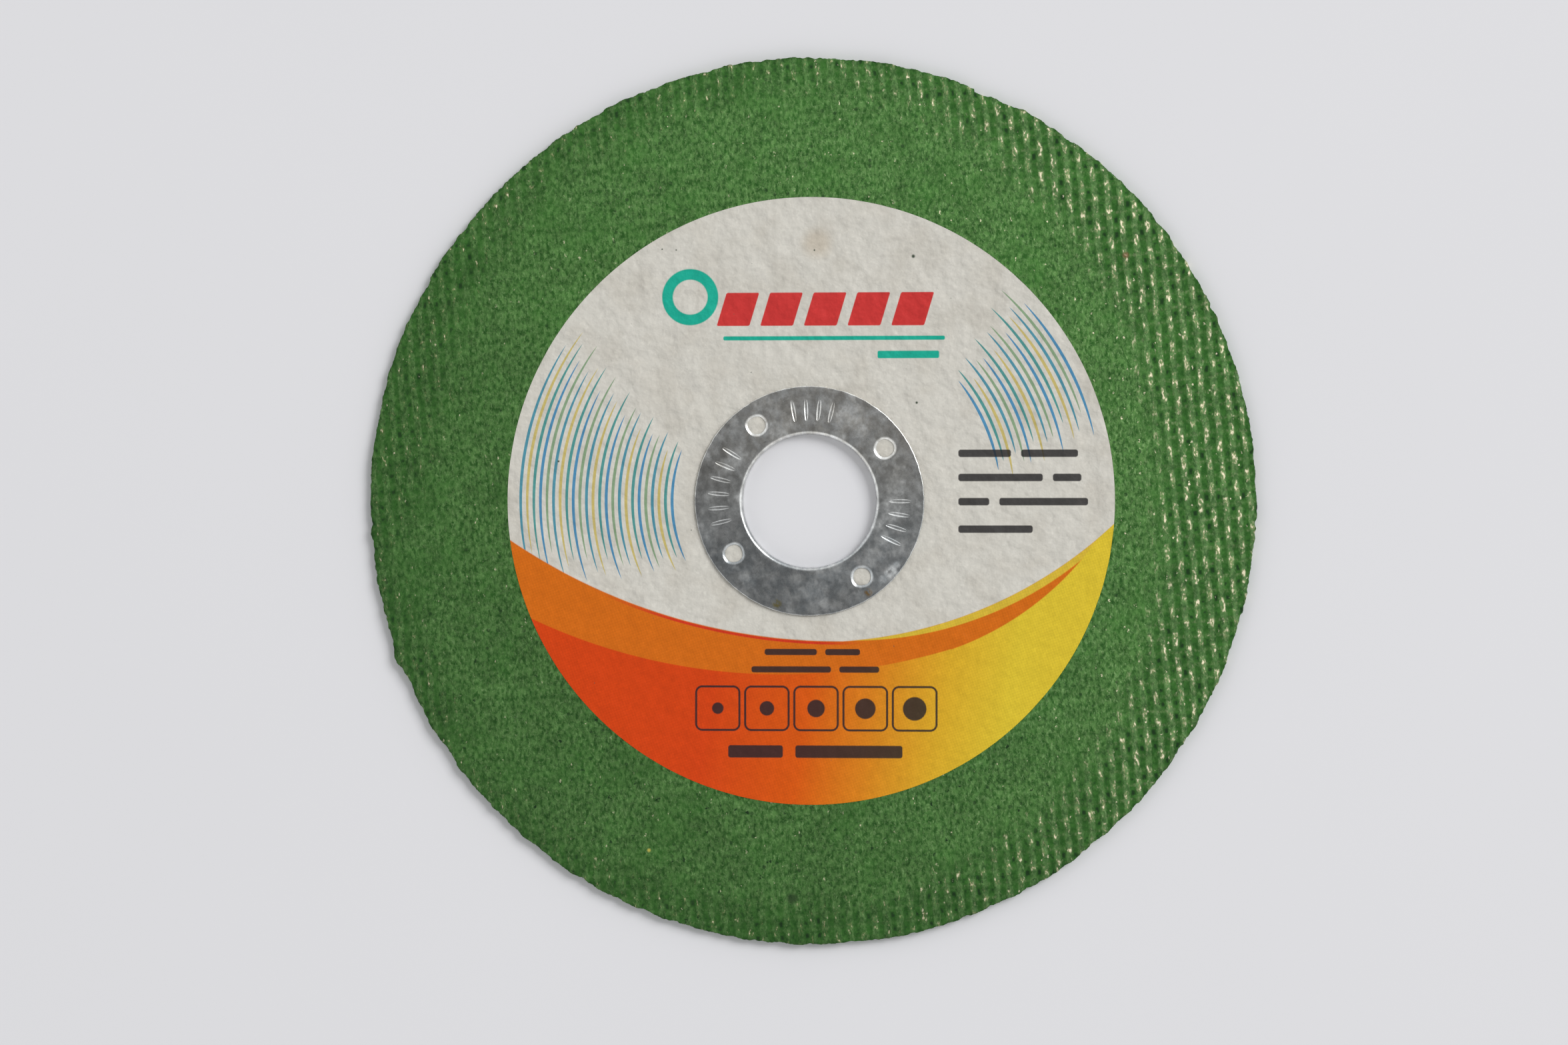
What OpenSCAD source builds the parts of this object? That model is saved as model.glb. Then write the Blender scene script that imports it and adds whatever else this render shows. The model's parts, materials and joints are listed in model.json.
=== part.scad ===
// Thin reinforced cut-off wheel for a small angle grinder.
// It lies on its back with the label up. The origin is on the bore axis, in the plane it rests on.
// Millimetres, +Z up, +Y towards the top of the label.

/* [Wheel] */
// Outside diameter of the wheel
wheel_d = 107; // [100:0.5:125]
// Thickness over the yarn crests of both faces
wheel_t = 1; // [0.8:0.1:3]

/* [Glass net relief] */
// Distance from one warp yarn to the next
yarn_pitch = 1.5; // [1.2:0.1:3]
// Width of a yarn ridge at its crest
yarn_crest_w = 0.6; // [0.3:0.05:1]
// Height of a yarn ridge above the groove between two yarns
yarn_h = 0.15; // [0.05:0.01:0.25]
// Lean of the warp yarns out of the label's upright
warp_tilt = 5.5; // [-15:0.5:15]

/* [Worn rim] */
// Place of the swollen spot on the rim, in degrees from +X
swell_angle = 200.5; // [190:0.5:250]
// Height of the swollen spot above the rim
swell_h = 0.5; // [0.1:0.1:0.8]
// Radius of the swollen spot's crown
swell_r = 3; // [2:0.5:6]
// Place of the chip's step on the rim, in degrees from +X
chip_angle = 68; // [20:1:80]
// Depth of the chip at its step
chip_depth = 0.35; // [0.1:0.05:0.8]

/* [Paper label] */
// Diameter of the round label
label_d = 73.2; // [40:0.2:90]
// Thickness of the paper
label_t = 0.1; // [0.05:0.01:0.2]
// Gap between the paper's edge and the seat pressed into the wheel
label_gap = 0.1; // [0.05:0.05:0.3]

/* [Arbor ring] */
// Diameter of the spindle that the wheel goes on
spindle_d = 16; // [10:0.5:22.5]
// Play of the ring's bore on the spindle, over the diameter
spindle_play = 0.1; // [0.05:0.05:0.3]
// Thickness of the tinned sheet that the ring is drawn from
sheet_t = 0.25; // [0.15:0.05:0.4]
// Outside diameter of the ring's flange
flange_d = 27.7; // [26.5:0.1:36]
// Outer radius of the bend from the flange into the collar
bend_r = 0.5; // [0.45:0.05:0.6]
// Rounding of the flange's sheared outer edge
flange_edge_r = 0.1; // [0.05:0.05:0.15]
// Gap between the collar and the wheel's hole, on the radius
collar_gap = 0.05; // [0.02:0.01:0.2]
// Distance that the collar ends above the wheel's back
collar_setback = 0.1; // [0.05:0.05:0.3]

/* [Pierced holes of the ring] */
// Number of holes in the flange
hole_count = 4; // [2:1:6]
// Diameter of a hole
hole_d = 2.1; // [1.5:0.1:2.6]
// Diameter of the dished mouth round a hole
dish_d = 2.8; // [2.7:0.1:3.2]
// Depth of the dished mouth
dish_depth = 0.14; // [0.05:0.01:0.14]
// Diameter of the circle that the holes lie on
hole_circle_d = 22.2; // [21.5:0.1:22.6]
// Place of the first hole, in degrees from +X
hole_angle = 34.8; // [0:0.1:90]

/* [Hidden] */

$fn = 96;
// Overrun of a cut past the face that it opens
cut = 1;

wheel_r = wheel_d / 2;
label_floor_z = wheel_t - label_t;
label_seat_r = label_d / 2 + label_gap;

bore_r = (spindle_d + spindle_play) / 2;
collar_r = bore_r + sheet_t;
wheel_hole_r = collar_r + collar_gap;
inner_bend_r = bend_r - sheet_t;
bend_axis_r = bore_r + bend_r;
bend_axis_z = wheel_t - inner_bend_r;
flange_r = flange_d / 2;
flange_top_z = wheel_t + sheet_t;
// The paper and the wheel's edge stay outside the inner side of the bend
bend_relief_r = bend_axis_r + collar_gap;

// Yarns on each side of the middle one, with one to spare past the swollen rim
side_yarns = ceil((wheel_r + swell_h) / yarn_pitch) + 1;
plate_half = (side_yarns + 0.5) * yarn_pitch;

// Outline of one ridged face from left to right, as heights above the grooves between the yarns
function ridge_points(i) = let (x = i * yarn_pitch) [
    [x - yarn_pitch / 2, 0],
    [x - yarn_crest_w / 2, yarn_h],
    [x + yarn_crest_w / 2, yarn_h]
];
face_points = [for (i = [-side_yarns : side_yarns], p = ridge_points(i)) p];

// Section of the moulded plate across the warp yarns, which stand up on both faces
module ridged_section() {
    front = [for (p = face_points) [p[0], wheel_t - yarn_h + p[1]]];
    back = [for (k = [len(face_points) - 1 : -1 : 0]) [face_points[k][0], yarn_h - face_points[k][1]]];
    polygon(concat(
        front,
        [[plate_half, wheel_t - yarn_h], [plate_half, yarn_h]],
        back
    ));
}

// Plate of the cured mix, drawn out along the warp yarns
module ridged_plate() {
    rotate([0, 0, warp_tilt])
        rotate([90, 0, 0])
            linear_extrude(height = 2 * plate_half, center = true) ridged_section();
}

// Round outline with the swollen spot and the chip that runs out along a chord
module rim_outline() {
    difference() {
        union() {
            circle(r = wheel_r);
            rotate(swell_angle) translate([wheel_r + swell_h - swell_r, 0]) circle(r = swell_r);
        }
        rotate(chip_angle - 90)
            translate([0, wheel_r - chip_depth]) square([wheel_r / 2, chip_depth + cut]);
    }
}

// Land under the label, where the press has flattened the yarns
module label_land() {
    translate([0, 0, wheel_t / 2]) cylinder(h = label_floor_z - wheel_t / 2, r = label_seat_r);
}

// Hole for the ring's collar, with the front edge broken for the bend
module collar_hole() {
    translate([0, 0, -cut]) cylinder(h = wheel_t + 2 * cut, r = wheel_hole_r);
    translate([0, 0, bend_axis_z])
        cylinder(h = inner_bend_r, r1 = wheel_hole_r, r2 = wheel_hole_r + inner_bend_r);
}

module abrasive_wheel() {
    color([0.24, 0.45, 0.22])
        difference() {
            union() {
                intersection() {
                    linear_extrude(height = wheel_t) rim_outline();
                    ridged_plate();
                }
                label_land();
            }
            translate([0, 0, label_floor_z]) cylinder(h = label_t + cut, r = label_seat_r);
            collar_hole();
        }
}

module paper_label() {
    color([0.8, 0.79, 0.76])
        translate([0, 0, label_floor_z])
            difference() {
                cylinder(h = label_t, r = label_d / 2);
                translate([0, 0, -cut]) cylinder(h = label_t + 2 * cut, r = bend_relief_r);
            }
}

// Half section of the ring: collar, bend and flange of one sheet
module ring_section() {
    translate([bore_r, collar_setback]) square([sheet_t, bend_axis_z - collar_setback]);
    intersection() {
        translate([bend_axis_r, bend_axis_z])
            difference() {
                circle(r = bend_r);
                circle(r = inner_bend_r);
            }
        translate([bore_r, bend_axis_z]) square(bend_r);
    }
    translate([bend_axis_r, wheel_t]) square([flange_r - flange_edge_r - bend_axis_r, sheet_t]);
    translate([bend_axis_r, wheel_t]) square([flange_r - bend_axis_r, sheet_t - flange_edge_r]);
    translate([flange_r - flange_edge_r, flange_top_z - flange_edge_r]) circle(r = flange_edge_r);
}

// Hole punched through the flange, with the dish that the punch drew in round it
module pierced_hole() {
    translate([0, 0, wheel_t - cut]) cylinder(h = sheet_t + 2 * cut, d = hole_d);
    translate([0, 0, flange_top_z - dish_depth])
        cylinder(h = dish_depth, d1 = hole_d, d2 = dish_d);
}

module arbor_ring() {
    color([0.6, 0.62, 0.63])
        difference() {
            rotate_extrude() ring_section();
            for (i = [0 : hole_count - 1])
                rotate([0, 0, hole_angle + i * 360 / hole_count])
                    translate([hole_circle_d / 2, 0, 0]) pierced_hole();
        }
}

abrasive_wheel();
paper_label();
arbor_ring();
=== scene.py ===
"""Looks of a thin reinforced cut-off wheel that lies flat: wheel with net, paper label, arbor ring."""

import json
import math

import bmesh
import bpy
import numpy as np
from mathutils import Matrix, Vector, noise


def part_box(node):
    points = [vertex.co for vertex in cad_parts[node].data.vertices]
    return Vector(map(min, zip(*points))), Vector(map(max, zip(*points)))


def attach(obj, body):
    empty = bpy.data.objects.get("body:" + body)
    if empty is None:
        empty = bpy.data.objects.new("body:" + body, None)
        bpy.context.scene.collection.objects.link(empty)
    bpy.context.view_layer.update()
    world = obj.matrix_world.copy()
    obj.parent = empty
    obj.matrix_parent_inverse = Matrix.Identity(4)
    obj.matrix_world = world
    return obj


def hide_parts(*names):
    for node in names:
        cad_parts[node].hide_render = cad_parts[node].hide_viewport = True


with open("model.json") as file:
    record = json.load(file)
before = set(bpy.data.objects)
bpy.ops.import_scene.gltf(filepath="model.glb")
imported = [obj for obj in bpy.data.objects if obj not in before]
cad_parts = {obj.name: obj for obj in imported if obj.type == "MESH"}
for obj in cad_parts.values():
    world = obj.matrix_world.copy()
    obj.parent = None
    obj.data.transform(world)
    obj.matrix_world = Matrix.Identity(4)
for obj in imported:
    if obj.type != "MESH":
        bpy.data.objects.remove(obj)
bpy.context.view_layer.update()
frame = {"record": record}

MM = 0.001

# Sizes that the frame gives
WHEEL_LOW, WHEEL_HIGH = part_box("abrasive_wheel")
LABEL_LOW, LABEL_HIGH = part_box("paper_label")
RING_LOW, RING_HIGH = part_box("arbor_ring")
MOUNTS = {mount["name"]: mount for mount in frame["record"]["mounts"]}
FACE_Z = WHEEL_HIGH.z
BACK_Z = WHEEL_LOW.z
RIM_R = WHEEL_HIGH.x
LABEL_R = LABEL_HIGH.x
LABEL_FLOOR_Z = LABEL_LOW.z
FLANGE_R = RING_HIGH.x
FLANGE_Z = RING_HIGH.z
COLLAR_END_Z = RING_LOW.z
BORE_R = MOUNTS["arbor_bore"]["dims"]["r_mm"] * MM
SHEET_T = FLANGE_Z - FACE_Z

# Clearances and bends of the new pieces
SEAT_GAP = 0.01 * MM
COLLAR_GAP = 0.05 * MM
BEND_R = 0.5 * MM
EDGE_R = 0.14 * MM
INNER_BEND_R = BEND_R - SHEET_T
BEND_AXIS_R = BORE_R + BEND_R
BEND_AXIS_Z = FACE_Z - INNER_BEND_R
SEAT_R = LABEL_R + SEAT_GAP
WHEEL_HOLE_R = BORE_R + SHEET_T + COLLAR_GAP
LABEL_HOLE_R = BEND_AXIS_R + COLLAR_GAP

# Fineness of the meshes
RIM_STEPS = 2160
RIM_BANDS = 4
ROUND_STEPS = 240
CELLS_PER_YARN = 4
LABEL_CELL = 0.75 * MM
RING_STEPS = 256
BEND_STEPS = 8
PUNCH_STEPS = 40
LIP_STEPS = 6
SAME_PLANE = 1e-7
WELD_REACH = 0.002 * MM
SMOOTH_ANGLE = math.radians(50)
RING_SMOOTH_ANGLE = math.radians(18)

# Glass net moulded into both faces; a yarn's height is a middle value and a swing
WARP_PITCH = 1.5 * MM
WEFT_PITCH = 1.71 * MM
NET_LEAN = math.radians(5.5)
NET_RELIEF = 0.15 * MM
CROWN_POWER = 0.7
WARP_HEIGHT = (0.75, 0.25)
WEFT_HEIGHT = (0.38, 0.24)
BACK_OPENNESS = 0.8
GRAIN_DEPTH = 0.07 * MM
GRAIN_SIZE = 0.75 * MM
GRAIN_SEED = 4
# Where the net comes out from under the grain: angle from +X in degrees, and radius in millimetres
NET_EDGES = (
    (-45, 46.4), (-20, 43.6), (0, 42.4), (20, 42.8), (40, 45.0), (60, 47.0), (75, 49.8),
    (92, 50.3), (110, 49.2), (130, 50.8), (150, 47.8), (165, 45.6), (179, 47.6), (189, 52.0),
    (203, 48.4), (216, 52.0), (240, 51.2), (260, 49.2), (280, 48.4), (300, 47.2), (315, 46.4),
)
NET_EDGE_WIDTH = 5.5 * MM
# Each noise is a weight, the size of its lumps and a seed
NET_EDGE_NOISES = ((1.2 * MM, 7 * MM, 1), (0.9 * MM, 2.2 * MM, 5))

# Worn rim
SWELL_ANGLE = math.radians(200.5)
SWELL_HEIGHT = 0.5 * MM
SWELL_R = 3 * MM
CHIP_ANGLE = math.radians(68)
CHIP_DEPTH = 0.35 * MM
CHIP_SPAN = 0.5
RIM_REACH = 1.6 * MM
RIM_RAGGED = 0.36 * MM
RIM_MIDDLE_LOSS = 0.42
RIM_NOISES = ((0.5, 2.7 * MM, 7), (0.6, 1.0 * MM, 2), (0.3, 0.36 * MM, 3))

# Dents of the paper
DENT_DEPTH = 0.09 * MM
DENT_MIDDLE = 0.45
DENT_NOISES = ((0.6, 3.4 * MM, 5), (0.45, 1.7 * MM, 6))

# Flat beside the ring's bend, and burrs of its sheared edge
BEND_SIDE = 0.6 * MM
BURR_DEPTH = 0.05 * MM
BURR_SIZE = 0.45 * MM
BURR_SEED = 8

# Pierced holes of the ring, with slopes in degrees
HOLE_COUNT = 4
MOUTH_R = 1.42 * MM
LIP_R = 0.8 * MM
LIP_SLOPE = 15
LIP_END_SLOPE = 45
LIP_OVERRUN = 2
HOLE_CIRCLE_R = 11.1 * MM
HOLE_ANGLE = math.radians(34.8)
OUT_OF_ROUND = (0.018, 0.015)

# Short plain ticks pressed into the ring: groups as middle angle, count and step in degrees
TICK_GROUPS = ((88, 4, 8), (171, 6, 9), (-13, 4, 8.5))
TICK_CIRCLE_R = 10.95 * MM
TICK_HALF_SIZES = (1.85 * MM, 0.34 * MM, 0.3 * MM)
TICK_LIFT = 0.2 * MM

# Directions from the bore: the barer net, with glints, haze and flecks painted stronger towards the
# lamp; painted light on the face; painted reflection on the tin
BARE_AND_LIT_ANGLE = math.radians(8)
PAINTED_LIGHT_ANGLE = math.radians(45)
PAINTED_REFLECTION_ANGLE = math.radians(55)

# Print on the label, in millimetres from the bore axis. A field's edge is an arc, as centre and
# radius, or two arcs that meet at an upright line.
FIELD_EDGE = ((3.5, 54.2), 71.1)
FIELD_RIGHT_EDGE = ((0.7, 35.2), 52.2)
FIELD_JOINT = 4
BAND_EDGE = ((-3.7, 49.9), 70.8)
BAND_RIGHT_EDGE = ((5.1, 16.0), 35.9)
BAND_JOINT = 17
STREAK_EDGE = ((5.3, 26.4), 43.2)
FADE_LEFT = -12
FADE_RIGHT = 24
FADE_LEAN = -0.15
FADE_SHIFT = -0.1
DOT_PITCH = 0.26
SCREEN_TURN = 0.6
# Red line along the field's edge: its two sides past the edge, and where it fades in from each end
RED_LINE = (0.1, 0.4)
RED_LINE_RIGHT = (7, 1)
RED_LINE_LEFT = (-27, -16)
# Fans of thin arcs: side, first radius, count, then middle angle, turn of each and half angle in degrees
ARC_FANS = ((-1, 16.6, 24, -2, 0.6, 24), (1, 23.0, 16, 24, 0.45, 15))
ARC_PITCH = 0.8
ARC_HALF_WIDTH = 0.21
ARC_STRAY = math.radians(3)
# Plain dark bars: left end, right end, middle height and thickness
DARK_BARS = (
    (17.9, 24.2, 5.7, 0.9), (25.4, 32.2, 5.7, 0.9),
    (17.9, 28.0, 2.8, 0.9), (29.2, 32.6, 2.8, 0.9),
    (17.9, 21.6, -0.1, 0.9), (22.8, 33.4, -0.1, 0.9),
    (17.9, 26.8, -3.4, 0.9),
    (-5.4, 0.9, -18.2, 0.75), (1.9, 6.1, -18.2, 0.75),
    (-7.0, 2.6, -20.3, 0.75), (3.6, 8.4, -20.3, 0.75),
    (-9.8, -3.2, -30.2, 1.5), (-1.7, 11.2, -30.2, 1.5),
)
TEAL_BARS = ((-10.4, 16.3, 19.6, 0.5), (8.2, 15.6, 17.6, 0.9))
RED_BAR_COUNT = 5
RED_BARS = (-10.6, 14.4, 23.1, 4.0)
RED_BAR_GAP = 1.3
RED_BAR_SLANT = 0.3
TEAL_RING = ((-14.4, 24.6), 3.4, 2.1)
TILE_COUNT = 5
TILE_PITCH = 5.93
TILE_ROW = (0.8, -25.0)
TILE_SIDE = 5.5
TILE_LINE = 0.26
TILE_CORNER = 0.9
TILE_INNER_CORNER = 0.6
TILE_DOT_R = 0.7
TILE_DOT_GROWTH = 0.18
DARK_CORNER = 0.3

# Stray marks, in millimetres from the bore axis: place and radius
PAPER_SPECKS = (
    ((0.6, 30.2), 0.14), ((-16.1, 30.3), 0.12), ((-17.8, 30.4), 0.12),
    ((12.5, 29.4), 0.28), ((12.9, 11.8), 0.2), ((-30.4, 4.8), 0.18),
)
PAPER_STAIN = ((0.9, 31.0), 2.3)
WHEEL_SMUDGE = ((-2.1, -47.9), 0.9)
WHEEL_YELLOW_SPECK = ((-19.4, -42.2), 0.28)
WHEEL_BROWN_SPOT = ((37.9, 29.4), 0.5)
RING_OLIVE_STAIN = ((-3.9, -12.4), 0.7)
RING_BROWN_STAIN = ((7.1, -11.0), 0.6)
RING_SCUFFS = (((8.9, -9.4), 0.7), ((9.5, -8.9), 0.8), ((10.0, -8.3), 0.8), ((10.5, -7.7), 0.6))

# The photograph's frame, and where the bore axis is in it
PHOTO_WIDTH_PX = 2352
PHOTO_HEIGHT_PX = 1568
BORE_PX = (1214.1, 751.6)
PX_PER_M = 12455
LENS_MM = 65
SENSOR_MM = 36
VIEW_TILT = math.radians(3.3)

# Stage: the lamp's place, side and power, and the sky's strength between two heights of view
FLOOR_SIDE = 16
LAMP_PLACE = (3.0, 2.1, 2.7)
LAMP_SIDE = 2.1
LAMP_POWER = 126.0
SKY_HEIGHTS = (0.45, 0.92)
SKY_STRENGTHS = (0.97, 0.2)


# Mesh helpers

def deselect_all():
    bpy.ops.object.select_all(action="DESELECT")


def places(piece):
    """All vertex places of a piece, as rows of x, y, z."""
    found = np.empty(len(piece.data.vertices) * 3)
    piece.data.vertices.foreach_get("co", found)
    return found.reshape(-1, 3)


def move_to(piece, rows):
    piece.data.vertices.foreach_set("co", rows.ravel())
    piece.data.update()


def smooth(value, low, high):
    """A soft rise from 0 at low to 1 at high."""
    t = np.clip((value - low) / (high - low), 0, 1)
    return t * t * (3 - 2 * t)


def noise_rows(rows, size, seed):
    """Smooth noise from -1 to 1 at each row, with lumps of this size."""
    shift = Vector((seed * 7.3, seed * 3.1, seed * 5.7))
    return np.array([noise.noise(Vector(row) / size + shift) for row in rows])


def noise_sum(rows, middle, noises):
    """A middle value with noises on it, each as weight, size and seed."""
    return sum((weight * noise_rows(rows, size, seed) for weight, size, seed in noises), middle)


def pick_vertices(piece, chosen):
    """Select these vertices alone and stay in edit mode."""
    bpy.ops.object.mode_set(mode="EDIT")
    bpy.ops.mesh.select_mode(type="VERT")
    bpy.ops.mesh.select_all(action="DESELECT")
    bpy.ops.object.mode_set(mode="OBJECT")
    piece.data.vertices.foreach_set("select", chosen)
    bpy.ops.object.mode_set(mode="EDIT")


def pick_open_edges(piece, low_r, high_r):
    """In edit mode, select the open edges that lie between two radii."""
    bpy.ops.mesh.select_mode(type="EDGE")
    bpy.ops.mesh.select_all(action="DESELECT")
    work = bmesh.from_edit_mesh(piece.data)
    for edge in work.edges:
        middle = (edge.verts[0].co + edge.verts[1].co) / 2
        if len(edge.link_faces) < 2 and low_r < middle.xy.length < high_r:
            edge.select_set(True)
    bmesh.update_edit_mesh(piece.data)


def extrude_to(step_z=0, scale=1):
    """Draw the selected ring of edges out, along Z or to another radius."""
    bpy.ops.mesh.extrude_region_move(TRANSFORM_OT_translate={"value": (0, 0, step_z)})
    if scale != 1:
        bpy.ops.transform.resize(value=(scale, scale, 1), center_override=(0, 0, 0))


def close_mesh():
    """In edit mode, weld the seams, turn all faces outwards and leave edit mode."""
    bpy.ops.mesh.select_mode(type="VERT")
    bpy.ops.mesh.select_all(action="SELECT")
    bpy.ops.mesh.remove_doubles(threshold=WELD_REACH)
    bpy.ops.mesh.normals_make_consistent(inside=False)
    bpy.ops.object.mode_set(mode="OBJECT")


def round_sheet(name, z, outer_r, inner_r, cell, turn, outer_steps, inner_steps):
    """A flat ring of small cells between two true circles; stays in edit mode."""
    deselect_all()
    count = [2 * math.ceil(outer_r / side) for side in cell]
    bpy.ops.mesh.primitive_grid_add(
        x_subdivisions=count[0],
        y_subdivisions=count[1],
        size=2,
        location=(0, 0, z),
        rotation=(0, 0, turn),
    )
    sheet = bpy.context.object
    sheet.name = name
    sheet.scale = (count[0] * cell[0] / 2, count[1] * cell[1] / 2, 1)
    bpy.ops.object.transform_apply(location=True, rotation=True, scale=True)
    radius = np.hypot(*places(sheet)[:, :2].T)
    margin = 0.6 * max(cell)
    pick_vertices(sheet, (radius > outer_r - margin) | (radius < inner_r + margin))
    bpy.ops.mesh.delete(type="VERT")
    bpy.ops.mesh.select_all(action="SELECT")
    bpy.ops.mesh.delete_loose()
    middle_r = (outer_r + inner_r) / 2
    for circle_r, steps, span in (
        (outer_r, outer_steps, (middle_r, 2 * outer_r)),
        (inner_r, inner_steps, (0, middle_r)),
    ):
        bpy.ops.mesh.select_all(action="DESELECT")
        bpy.ops.mesh.primitive_circle_add(vertices=steps, radius=circle_r, location=(0, 0, z))
        pick_open_edges(sheet, *span)
        bpy.ops.mesh.fill()
    return sheet


def lathe(name, profile, steps, capped=False):
    """A shape drawn loop by loop along a half section of radius and height, run round or capped."""
    deselect_all()
    last_r, last_z = profile[0]
    bpy.ops.mesh.primitive_circle_add(
        vertices=steps,
        radius=last_r,
        location=(0, 0, last_z),
        fill_type="NGON" if capped else "NOTHING",
    )
    turned = bpy.context.object
    turned.name = name
    bpy.ops.object.transform_apply(location=True)
    bpy.ops.object.mode_set(mode="EDIT")
    pick_open_edges(turned, 0, 2 * last_r)
    for radius, z in profile[1:] if capped else profile[1:] + profile[:1]:
        extrude_to(z - last_z, radius / last_r)
        last_r, last_z = radius, z
    if capped:
        bpy.ops.mesh.edge_face_add()
    close_mesh()
    return turned


def arc(centre_r, centre_z, radius, start, end, steps):
    """Points of a round stretch of a half section, from one angle to another in degrees."""
    angles = [math.radians(start + (end - start) * i / steps) for i in range(steps + 1)]
    return [(centre_r + radius * math.cos(a), centre_z + radius * math.sin(a)) for a in angles]


# Abrasive wheel

def net_counts(rows):
    """Where a place lies in the net: warp count, weft count."""
    across = rows[:, 0] * math.cos(NET_LEAN) + rows[:, 1] * math.sin(NET_LEAN)
    along = rows[:, 1] * math.cos(NET_LEAN) - rows[:, 0] * math.sin(NET_LEAN)
    return across / WARP_PITCH, along / WEFT_PITCH


def knuckle_height(warp, weft):
    """Height of a plain weave, from 0 in the mesh openings to 1 on the warp knuckles."""
    warp_crown = (0.5 + 0.5 * np.cos(2 * np.pi * warp)) ** CROWN_POWER
    weft_crown = (0.5 + 0.5 * np.cos(2 * np.pi * weft)) ** CROWN_POWER
    warp_over = np.cos(np.pi * (weft + np.round(warp)))
    weft_over = -np.cos(np.pi * (warp + np.round(weft)))
    return np.maximum(
        warp_crown * (WARP_HEIGHT[0] + WARP_HEIGHT[1] * warp_over),
        weft_crown * (WEFT_HEIGHT[0] + WEFT_HEIGHT[1] * weft_over),
    )


def net_openness(rows):
    """How openly the net lies, from 0 under grain and resin to 1 bare, on the front."""
    radius = np.hypot(rows[:, 0], rows[:, 1])
    first, last = NET_EDGES[0][0], NET_EDGES[-1][0]
    angle = np.degrees(np.arctan2(rows[:, 1], rows[:, 0]))
    edge_angles, edge_radii = zip(*NET_EDGES)
    edge = MM * np.interp(np.mod(angle - first, last - first) + first, edge_angles, edge_radii)
    patch = noise_sum(rows, 0, NET_EDGE_NOISES)
    outer = smooth(radius + patch, edge - NET_EDGE_WIDTH / 2, edge + NET_EDGE_WIDTH / 2)
    bare_and_lit_side = 0.85 + 0.15 * smooth(rows[:, 0], -20 * MM, 30 * MM)
    return outer * bare_and_lit_side


def rim_radius(angle):
    """Radius of the worn outline: round, with the swollen spot and the chip along a chord."""
    radius = np.full_like(angle, RIM_R)
    swell_centre = RIM_R + SWELL_HEIGHT - SWELL_R
    off_swell = np.angle(np.exp(1j * (angle - SWELL_ANGLE)))
    inside = np.clip(SWELL_R ** 2 - (swell_centre * np.sin(off_swell)) ** 2, 0, None)
    crown = swell_centre * np.cos(off_swell) + np.sqrt(inside)
    near_swell = np.abs(off_swell) < SWELL_R / RIM_R
    radius = np.where(near_swell, np.maximum(radius, crown), radius)
    off_chip = np.angle(np.exp(1j * (CHIP_ANGLE - angle)))
    chord = (RIM_R - CHIP_DEPTH) / np.cos(np.clip(off_chip, -1, 1))
    return np.where((off_chip > 0) & (off_chip < CHIP_SPAN), np.minimum(radius, chord), radius)


def wear_rim(rows):
    """Pull the outer cells to the worn outline and fray it a little."""
    radius = np.hypot(rows[:, 0], rows[:, 1])
    angle = np.arctan2(rows[:, 1], rows[:, 0])
    near = smooth(radius, RIM_R - RIM_REACH, RIM_R)
    edge = np.flatnonzero(near > 0)
    loss = RIM_RAGGED * np.clip(noise_sum(rows[edge], RIM_MIDDLE_LOSS, RIM_NOISES), 0, 1)
    scale = 1 + near[edge] * ((rim_radius(angle[edge]) - loss) / RIM_R - 1)
    rows[edge, :2] *= scale[:, None]


def raise_net(rows):
    """Give both faces their yarn knuckles and grain, always inwards from the crests."""
    warp, weft = net_counts(rows)
    height = knuckle_height(warp, weft)
    front = np.flatnonzero(np.abs(rows[:, 2] - FACE_Z) < SAME_PLANE)
    back = np.flatnonzero(np.abs(rows[:, 2] - BACK_Z) < SAME_PLANE)
    open_net = net_openness(rows)
    open_net[back] = BACK_OPENNESS
    grain = 0.5 + 0.5 * noise_rows(rows, GRAIN_SIZE, GRAIN_SEED)
    sunk = NET_RELIEF * open_net * (1 - height) + GRAIN_DEPTH * grain * (1.2 - open_net)
    rows[front, 2] -= sunk[front]
    rows[back, 2] += sunk[back]
    return open_net


def mark_net(wheel, rows, open_net):
    """Keep the net's counts as a UV map, and how openly it lies as an attribute."""
    warp, weft = net_counts(rows)
    counts = np.stack((warp, weft), axis=1)
    corner_vertex = np.empty(len(wheel.data.loops), dtype=np.int32)
    wheel.data.loops.foreach_get("vertex_index", corner_vertex)
    for old_map in list(wheel.data.uv_layers):
        wheel.data.uv_layers.remove(old_map)
    net_map = wheel.data.uv_layers.new(name="net")
    net_map.data.foreach_set("uv", counts[corner_vertex].ravel())
    shown = wheel.data.attributes.new("open_net", "FLOAT", "POINT")
    shown.data.foreach_set("value", open_net.astype(np.float32))


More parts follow.
